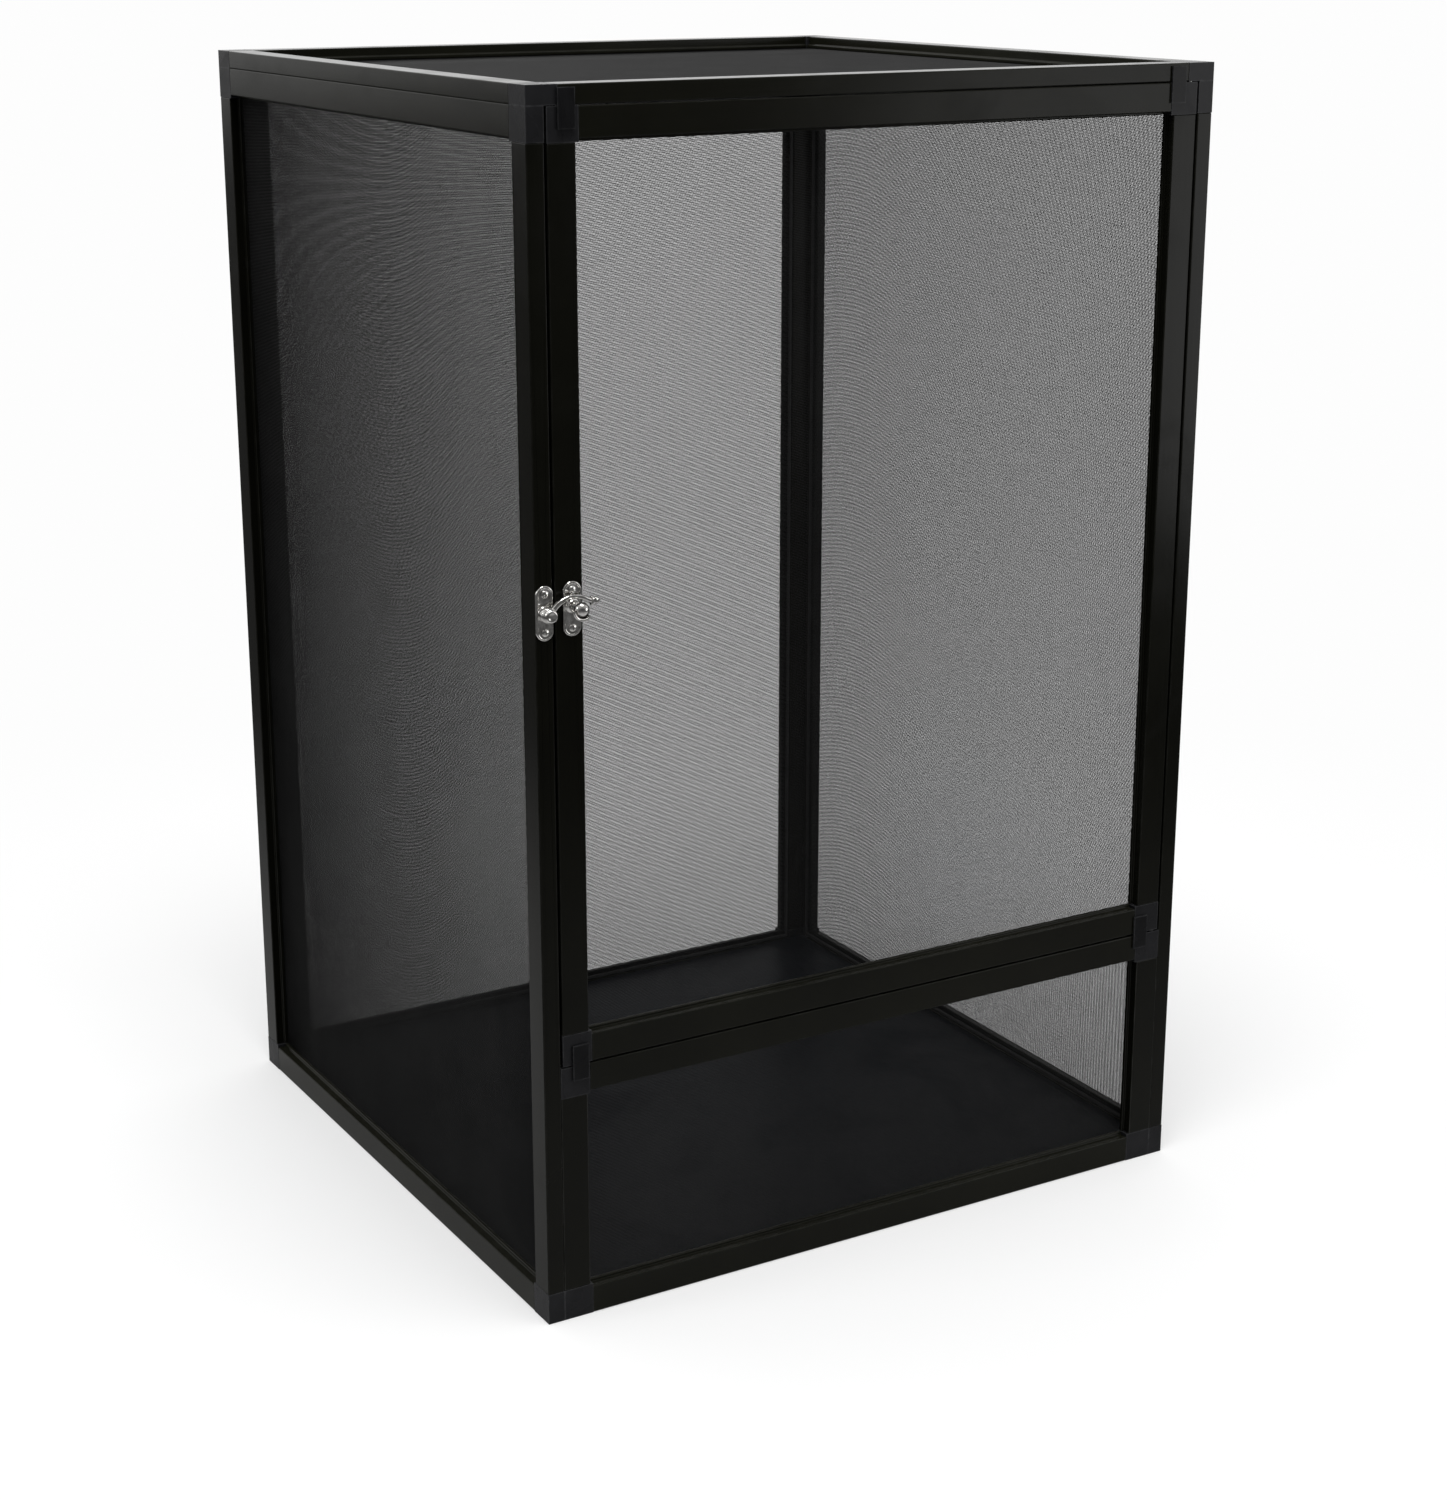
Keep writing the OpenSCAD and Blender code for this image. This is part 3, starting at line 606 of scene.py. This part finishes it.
# One coat in three runs whose tones are painted light and shade: lighter on the side rails along y,
# darker on the stiles along z, and between these on the rails along x
RUN_X_PAINTED_MID_SHADE = coated_aluminium(
    "coated aluminium along x with painted mid shade", (LINES_ALONG, LINES_ACROSS, LINES_ACROSS), deep=0.0055, pale=0.0085
)
RUN_Y_PAINTED_LIGHT = coated_aluminium(
    "coated aluminium along y with painted light", (LINES_ACROSS, LINES_ALONG, LINES_ACROSS), deep=0.0070, pale=0.0110
)
RUN_Z_PAINTED_SHADE = coated_aluminium(
    "coated aluminium along z with painted shade", (LINES_ACROSS, LINES_ACROSS, LINES_ALONG), deep=0.0036, pale=0.0056
)
KEY_BLACK = moulded_plastic("moulded key black", deep=0.011, pale=0.019)
STOP_BLACK = moulded_plastic("moulded stop black", deep=0.005, pale=0.009)
STRAND_BLACK = grained_black(
    "coated strand black",
    gloss=0.1,
    cloud=22.0,
    deep=0.008,
    pale=0.014,
    grain=2600.0,
    roughness=(0.42, 0.6),
    strength=0.3,
    distance=0.00005,
)
SPLINE_RUBBER = grained_black(
    "spline cord rubber",
    gloss=0.25,
    cloud=40.0,
    deep=0.026,
    pale=0.042,
    grain=1100.0,
    roughness=(0.55, 0.75),
    strength=0.5,
    distance=0.00015,
)
FLOOR_NAVY = floor_laminate()
STEEL = rolled_steel()
NYLON = grained_black(
    "washer nylon",
    gloss=0.35,
    cloud=120.0,
    deep=0.012,
    pale=0.02,
    grain=1800.0,
    roughness=(0.35, 0.5),
    strength=0.3,
    distance=0.00008,
)
NICKEL = latch_nickel()


def dress_node(name, material, edge, steps=PLAIN_STEPS):
    """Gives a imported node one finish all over, and breaks its edges as a file or a mould does."""
    piece = cage_nodes[name]
    piece.data.materials.clear()
    piece.data.materials.append(material)
    piece.modifiers.new("joined edges", "WELD").merge_threshold = EDGE_JOIN
    bevel = piece.modifiers.new("softened edges", "BEVEL")
    bevel.width = edge
    bevel.segments = steps
    bevel.limit_method = "ANGLE"
    bevel.angle_limit = math.radians(SOFTEN_FROM)
    piece.modifiers.new("flat faces", "WEIGHTED_NORMAL").weight = FLAT_FACE_WEIGHT


def longest_axis(name):
    low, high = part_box(name)
    spans = high - low
    return max(range(3), key=lambda axis: spans[axis])


def dress_frames():
    """Finishes the rails, corner keys and splines of the six frames."""
    # Each rail takes the run of its longest axis, and with it that run's painted light and shade
    runs = (RUN_X_PAINTED_MID_SHADE, RUN_Y_PAINTED_LIGHT, RUN_Z_PAINTED_SHADE)
    for name in cage_nodes:
        if name.endswith(("_rail", "_stile")):
            dress_node(name, runs[longest_axis(name)], RAIL_EDGE, ROUND_STEPS)
        elif name.endswith("_corners"):
            dress_node(name, KEY_BLACK, KEY_EDGE)
        elif name.endswith("_spline"):
            dress_node(name, SPLINE_RUBBER, SPLINE_EDGE, ROUND_STEPS)


def dress_fittings():
    """Finishes the floor, its ledges, the hidden joints and the door's stop plates."""
    dress_node("floor_board", FLOOR_NAVY, FLOOR_EDGE)
    for name in ("floor_ledges", "ledge_screws", "panel_dowels", "pivot_pins"):
        dress_node(name, STEEL, PLATE_EDGE)
    dress_node("pivot_washer", NYLON, PLATE_EDGE)
    dress_node("door_stops", STOP_BLACK, PLATE_EDGE)


def put_in_scene(name, data):
    piece = bpy.data.objects.new(name, data)
    bpy.context.scene.collection.objects.link(piece)
    return piece


def strand_runs(near, far, length, pitch, slope):
    """Where one set's strands lie, as (track, start, stop), cut off at the edges of the screen."""
    drift = slope * length
    track = near - max(0.0, drift)
    while track < far - min(0.0, drift):
        track += pitch
        meets = sorted(((near - track) / slope, (far - track) / slope))
        start, stop = max(0.0, meets[0]), min(length, meets[1])
        if stop - start >= SHORTEST_STRAND:
            yield track, start, stop


def strand_faces(base):
    """Faces of one strand, whose rings of points begin at base."""
    last = base + STRAND_SIDES * STRAND_SPANS
    faces = [tuple(base + side for side in range(STRAND_SIDES))]
    for ring in range(base, last, STRAND_SIDES):
        for side in range(STRAND_SIDES):
            first, second = ring + side, ring + (side + 1) % STRAND_SIDES
            faces.append((first, first + STRAND_SIDES, second + STRAND_SIDES, second))
    faces.append(tuple(last + side for side in reversed(range(STRAND_SIDES))))
    return faces


def weave_screen(frame_name, body):
    """The screen of a frame as two crossing sets of strands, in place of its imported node."""
    node = frame_name + "_screen"
    low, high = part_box(node)
    spans = high - low
    thin = min(range(3), key=lambda axis: spans[axis])
    flat = [axis for axis in range(3) if axis != thin]
    middle = (low[thin] + high[thin]) / 2.0
    rng = random.Random(WEAVE_SEED + FRAMES.index(frame_name))
    lean = math.tan(math.radians(WEAVE_LEAN[frame_name]))
    sets = (
        (flat[0], flat[1], -1.0, LEVEL_PITCH, -lean),
        (flat[1], flat[0], 1.0, UPRIGHT_PITCH, lean),
    )
    points, faces = [], []
    for along, across, layer, pitch, slope in sets:
        width = pitch * STRAND_WIDTH_SHARE
        thick = pitch * STRAND_DEPTH_SHARE
        depth = middle + layer * thick * LAYER_SHARE
        # The turn keeps the faces outward, whichever way the two axes follow each other
        turn = 0.5 if (along + 1) % 3 == across else -0.5
        corners = ((-0.5, 0.0), (0.0, turn), (0.5, 0.0), (0.0, -turn))
        near, far = low[across] + width / 2.0, high[across] - width / 2.0
        for track, start, stop in strand_runs(near, far, spans[along], pitch, slope):
            faces.extend(strand_faces(len(points)))
            for ring in range(STRAND_SPANS + 1):
                reach = start + (stop - start) * ring / STRAND_SPANS
                inside = 0 < ring < STRAND_SPANS
                wobble = rng.uniform(-STRAND_WOBBLE, STRAND_WOBBLE) if inside else 0.0
                centre = min(max(track + slope * reach + wobble, near), far)
                for side, out in corners:
                    point = [0.0, 0.0, 0.0]
                    point[along] = low[along] + reach
                    point[across] = centre + side * width
                    point[thin] = depth + out * thick
                    points.append(point)
    mesh = bpy.data.meshes.new(node + "_weave")
    mesh.from_pydata(points, [], faces)
    mesh.update()
    mesh.shade_smooth()
    mesh.materials.append(STRAND_BLACK)
    piece = put_in_scene(node + "_weave", mesh)
    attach(piece, body)
    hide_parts(node)


def turn_steps(count):
    """Angles of a full turn, in even steps."""
    return [2.0 * math.pi * i / count for i in range(count)]


class LatchShape:
    """Shells of one latch piece; a point is (right, up, depth) from the piece's own place."""

    def __init__(self, right, up):
        self.right, self.up = right, up
        self.points, self.faces = [], []

    def skin(self, rings, joined=False):
        """A skin over rings of as many points each, joined in a loop or capped at both ends."""
        first = len(self.points)
        size = len(rings[0])
        for ring in rings:
            self.points.extend(ring)
        pairs = [(i, i + 1) for i in range(len(rings) - 1)]
        if joined:
            pairs.append((len(rings) - 1, 0))
        for low, high in pairs:
            low_at, high_at = first + low * size, first + high * size
            for i in range(size):
                j = (i + 1) % size
                self.faces.append((low_at + i, low_at + j, high_at + j, high_at + i))
        if not joined:
            last = first + (len(rings) - 1) * size
            self.faces.append(tuple(first + i for i in reversed(range(size))))
            self.faces.append(tuple(last + i for i in range(size)))

    def turned(self, profile, up=0.0, joined=False):
        """A turned shell; the profile lists (radius, depth)."""
        turns = turn_steps(TURNED_SIDES)
        rings = [
            [(r * math.cos(a), up + r * math.sin(a), depth) for a in turns]
            for r, depth in profile
        ]
        self.skin(rings, joined)

    def finish(self, node, body):
        """Makes the piece and puts it in its node's place."""
        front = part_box("latch_plate")[1].y
        places = [
            (self.right + x * MM, front - depth * MM, self.up + z * MM)
            for x, z, depth in self.points
        ]
        mesh = bpy.data.meshes.new(node + "_made")
        mesh.from_pydata(places, [], self.faces)
        shape = bmesh.new()
        shape.from_mesh(mesh)
        bmesh.ops.recalc_face_normals(shape, faces=shape.faces)
        shape.to_mesh(mesh)
        shape.free()
        mesh.shade_smooth()
        mesh.set_sharp_from_angle(angle=math.radians(LATCH_SHARP_FROM))
        mesh.materials.append(NICKEL)
        piece = put_in_scene(node + "_made", mesh)
        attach(piece, body)
        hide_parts(node)


def middle_of(node):
    """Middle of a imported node, as (right, up) on the front of the cage."""
    low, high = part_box(node)
    return (low.x + high.x) / 2.0, (low.z + high.z) / 2.0


def stamp_plate(shape, node):
    """A plate of its node's size, with round ends, a rolled rim and a shallow dish inside it."""
    low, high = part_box(node)
    width, height = (high.x - low.x) / MM, (high.z - low.z) / MM
    half = width / 2.0
    straight = (height - width) / 2.0
    steps = [math.pi * i / PLATE_END_STEPS for i in range(PLATE_END_STEPS + 1)]
    rings = []
    for inset, depth in PLATE_SECTION + ((half - PLATE_CORE, PLATE_FLOOR),):
        r = half - inset
        top = [(r * math.cos(a), straight + r * math.sin(a), depth) for a in steps]
        bottom = [(-r * math.cos(a), -straight - r * math.sin(a), depth) for a in steps]
        rings.append(top + bottom)
    shape.skin(rings)


def drive_screw(shape, up):
    """A pan-head screw with a cross recess; its shank goes back into the rail."""
    shape.turned(SCREW_SHANK, up=up)
    rings = []
    for step, share in enumerate(SCREW_HEAD_RINGS):
        dome = SCREW_SEAT
        if step > 0:
            bulge = math.sqrt(1.0 - (SCREW_DOME_SHARE * share) ** SCREW_DOME_POWER)
            dome += (SCREW_TOP - SCREW_SEAT) * bulge
        ring = []
        for a in turn_steps(TURNED_SIDES):
            x, z = SCREW_HEAD_R * share * math.cos(a), SCREW_HEAD_R * share * math.sin(a)
            recessed = share < RECESS_REACH and min(abs(x), abs(z)) < RECESS_HALF_W
            ring.append((x, up + z, dome - RECESS_DEPTH if recessed else dome))
        rings.append(ring)
    shape.skin(rings)


def make_base_plate():
    shape = LatchShape(*middle_of("latch_rivet"))
    stamp_plate(shape, "latch_plate")
    shape.turned(BOSS_PROFILE, joined=True)
    shape.finish("latch_plate", "frame")


def make_rivet():
    shape = LatchShape(*middle_of("latch_rivet"))
    shape.turned(RIVET_PROFILE)
    shape.finish("latch_rivet", "frame")


def make_screws(node, body):
    shape = LatchShape(*middle_of(node))
    for side in (-1.0, 1.0):
        drive_screw(shape, side * SCREW_GAP / 2.0)
    shape.finish(node, body)


def arm_path():
    """Places on the arm's middle from eye to finial, as (right, up, along right, along up)."""
    middle_r = ARCH_R - ARCH_W / 2.0
    start = math.pi - math.atan2(ARCH_DROP, ARCH_X)
    bend = math.radians(ARCH_END + ARCH_BEND)
    end = math.radians(ARCH_END)
    path = []
    for i in range(ARCH_STEPS_IN_EYE, ARCH_STEPS + 1):
        a = start + (bend - start) * i / ARCH_STEPS
        x, z = ARCH_X + middle_r * math.cos(a), middle_r * math.sin(a) - ARCH_DROP
        path.append((x, z, math.sin(a), -math.cos(a)))
    here = Vector(path[-1][:2])
    there = Vector((ARCH_X + ARCH_R * math.cos(end), middle_r * math.sin(end) - ARCH_DROP))
    knee = Vector((here.x + (here.y - there.y) * math.tan(bend), there.y))
    for i in range(1, KNEE_STEPS + 1):
        t = i / KNEE_STEPS
        place = here * (1 - t) ** 2 + knee * 2 * t * (1 - t) + there * t * t
        along = ((knee - here) * (1 - t) + (there - knee) * t).normalized()
        path.append((place.x, place.y, along.x, along.y))
    return path


def arm_section():
    """The arm's rounded section, as shares of its half width and half depth."""

    def rounded(value):
        return math.copysign(abs(value) ** ARM_SQUARENESS, value)

    return [(rounded(math.cos(c)), rounded(math.sin(c))) for c in turn_steps(ARM_SIDES)]


def make_arm():
    shape = LatchShape(*middle_of("latch_rivet"))
    shape.turned(EYE_PROFILE, joined=True)
    middle = (ARM_BACK + ARM_FRONT) / 2.0
    thick = (ARM_FRONT - ARM_BACK) / 2.0
    path = arm_path()
    section = arm_section()
    rings = []
    for step, (x, z, ax, az) in enumerate(path):
        half = ARCH_W / 2.0 * (ARM_WIDTH_SHARE - ARM_TAPER * step / len(path))
        rings.append([
            (x - az * half * side, z + ax * half * side, middle + thick * out)
            for side, out in section
        ])
    shape.skin(rings)
    end_x, end_z = path[-1][:2]
    rings = []
    for along, high, deep in FINIAL:
        rings.append([
            (end_x + along, end_z + high * side, middle + thick * deep * out)
            for side, out in section
        ])
    shape.skin(rings)
    shape.finish("latch_arm", "latch_arm")


def flare_section():
    """Closed section of the flare below the ball, as (radius, depth)."""
    inner = [(r - FLARE_HALF_T, d + FLARE_HALF_T) for r, d in FLARE_SPINE]
    outer = [(r + FLARE_HALF_T, d - FLARE_HALF_T) for r, d in reversed(FLARE_SPINE)]
    roll = [
        (FLARE_R + FLARE_ROLL_R * math.cos(a), FLARE_ROLL_DEPTH + FLARE_ROLL_R * math.sin(a))
        for a in (math.radians(v) for v in FLARE_ROLL_TURNS)
    ]
    return inner + roll + outer


def ball_profile():
    """The catch's ball from its neck to its front, as (radius, depth)."""
    neck = math.asin(NECK_R / BALL_R)
    turn = math.radians(BALL_END) - neck
    angles = [neck + turn * i / BALL_STEPS for i in range(BALL_STEPS + 1)]
    return tuple((BALL_R * math.sin(a), BALL_DEPTH - BALL_R * math.cos(a)) for a in angles)


def make_catch_plate():
    right, up = middle_of("catch_screws")
    shape = LatchShape(right, up)
    stamp_plate(shape, "catch_plate")
    rise = (middle_of("latch_rivet")[1] - up) / MM + STALK_RISE
    shape.turned(STALK_PROFILE + ball_profile(), up=rise)
    section = flare_section()
    rings = []
    for i in range(FLARE_STEPS + 1):
        a = math.radians(FLARE_FROM + FLARE_TURN * i / FLARE_STEPS)
        rings.append([
            (r * math.cos(a), rise + r * math.sin(a), BALL_DEPTH + d)
            for r, d in section
        ])
    shape.skin(rings)
    shape.finish("catch_plate", "door")


def make_latch():
    make_base_plate()
    make_screws("latch_plate_screws", "frame")
    make_rivet()
    make_arm()
    make_catch_plate()
    make_screws("catch_screws", "door")


def seen_straight(tree):
    """One for camera and transmission rays, and nought for the light that falls on the cage."""
    path = tree.nodes.new("ShaderNodeLightPath")
    camera, transmission = path.outputs["Is Camera Ray"], path.outputs["Is Transmission Ray"]
    return combine(tree, "MAXIMUM", camera, transmission)


def studio_light(tree, direction):
    """Studio strength by direction: bright above and behind the cage, and dim in front of it."""
    lean = tree.nodes.new("ShaderNodeVectorMath")
    lean.operation = "DOT_PRODUCT"
    tree.links.new(direction, lean.inputs[0])
    lean.inputs[1].default_value = Vector(STUDIO_SIDE).normalized()
    return map_range(tree, lean.outputs["Value"], STUDIO_FALL, (STUDIO_DIM, STUDIO_BRIGHT))


def white_where_seen(tree, light):
    """The given strength for the cage's light, and plain white where the ground itself is seen."""
    return blend(tree, VALUE_MIX, seen_straight(tree), light, STAGE_WHITE)


def studio_world():
    world = bpy.data.worlds.new("studio")
    bpy.context.scene.world = world
    world.use_nodes = True
    tree = world.node_tree
    ground = tree.nodes["Background"]
    ground.inputs["Color"].default_value = WHITE
    place = tree.nodes.new("ShaderNodeTexCoord")
    light = studio_light(tree, place.outputs["Generated"])
    tree.links.new(white_where_seen(tree, light), ground.inputs["Strength"])


def floor_paper():
    """Pale paper that takes the shadow near the cage and turns plain white away from it."""
    material = bpy.data.materials.new("studio floor paper")
    material.use_nodes = True
    tree = material.node_tree
    tree.nodes.remove(tree.nodes["Principled BSDF"])
    output = tree.nodes["Material Output"]
    paper = add_node(tree, "ShaderNodeBsdfDiffuse", Color=STAGE_PAPER)
    plain = tree.nodes.new("ShaderNodeEmission")
    tree.links.new(white_where_seen(tree, STAGE_BOUNCE), plain.inputs["Strength"])
    place = tree.nodes.new("ShaderNodeTexCoord")
    distance = tree.nodes.new("ShaderNodeVectorMath")
    distance.operation = "LENGTH"
    tree.links.new(place.outputs["Object"], distance.inputs[0])
    lit_band = (STAGE_LIT_TO, STAGE_PLAIN_FROM)
    far = map_range(tree, distance.outputs["Value"], lit_band, (STAGE_NEAR_SHARE, 1.0))
    mixed = tree.nodes.new("ShaderNodeMixShader")
    tree.links.new(far, mixed.inputs[0])
    tree.links.new(paper.outputs[0], mixed.inputs[1])
    tree.links.new(plain.outputs[0], mixed.inputs[2])
    tree.links.new(mixed.outputs[0], output.inputs["Surface"])
    return material


def studio_floor():
    """A round floor just under the cage."""
    ring = [
        (STAGE_RADIUS * math.cos(a), STAGE_RADIUS * math.sin(a), 0.0)
        for a in turn_steps(STAGE_SIDES)
    ]
    mesh = bpy.data.meshes.new("studio_floor")
    mesh.from_pydata(ring, [], [tuple(range(STAGE_SIDES))])
    mesh.materials.append(floor_paper())
    floor = put_in_scene("studio_floor", mesh)
    floor.location.z = -STAGE_DROP


def soft_lamp(name, place, target, size, power):
    lamp = bpy.data.lights.new(name, "AREA")
    lamp.shape = "DISK"
    lamp.size = size
    lamp.energy = power
    piece = put_in_scene(name, lamp)
    piece.location = place
    piece.rotation_euler = (Vector(target) - Vector(place)).to_track_quat("-Z", "Y").to_euler()


def studio_camera():
    lens = bpy.data.cameras.new("camera")
    lens.sensor_width = CAMERA_SENSOR
    lens.lens = CAMERA_LENS
    lens.shift_y = CAMERA_SHIFT_Y
    right = Vector(CAMERA_RIGHT).normalized()
    back = right.cross(Vector(CAMERA_UP)).normalized()
    up = back.cross(right)
    turned = Matrix((right, up, back)).transposed().to_4x4()
    camera = put_in_scene("camera", lens)
    camera.matrix_world = Matrix.Translation(CAMERA_PLACE) @ turned
    bpy.context.scene.camera = camera


dress_frames()
dress_fittings()
for frame_name in FRAMES:
    weave_screen(frame_name, "door" if frame_name == "door" else "frame")
make_latch()

bpy.context.scene.view_settings.view_transform = "Standard"
studio_world()
studio_floor()
for softbox in SOFTBOXES:
    soft_lamp(*softbox)
studio_camera()
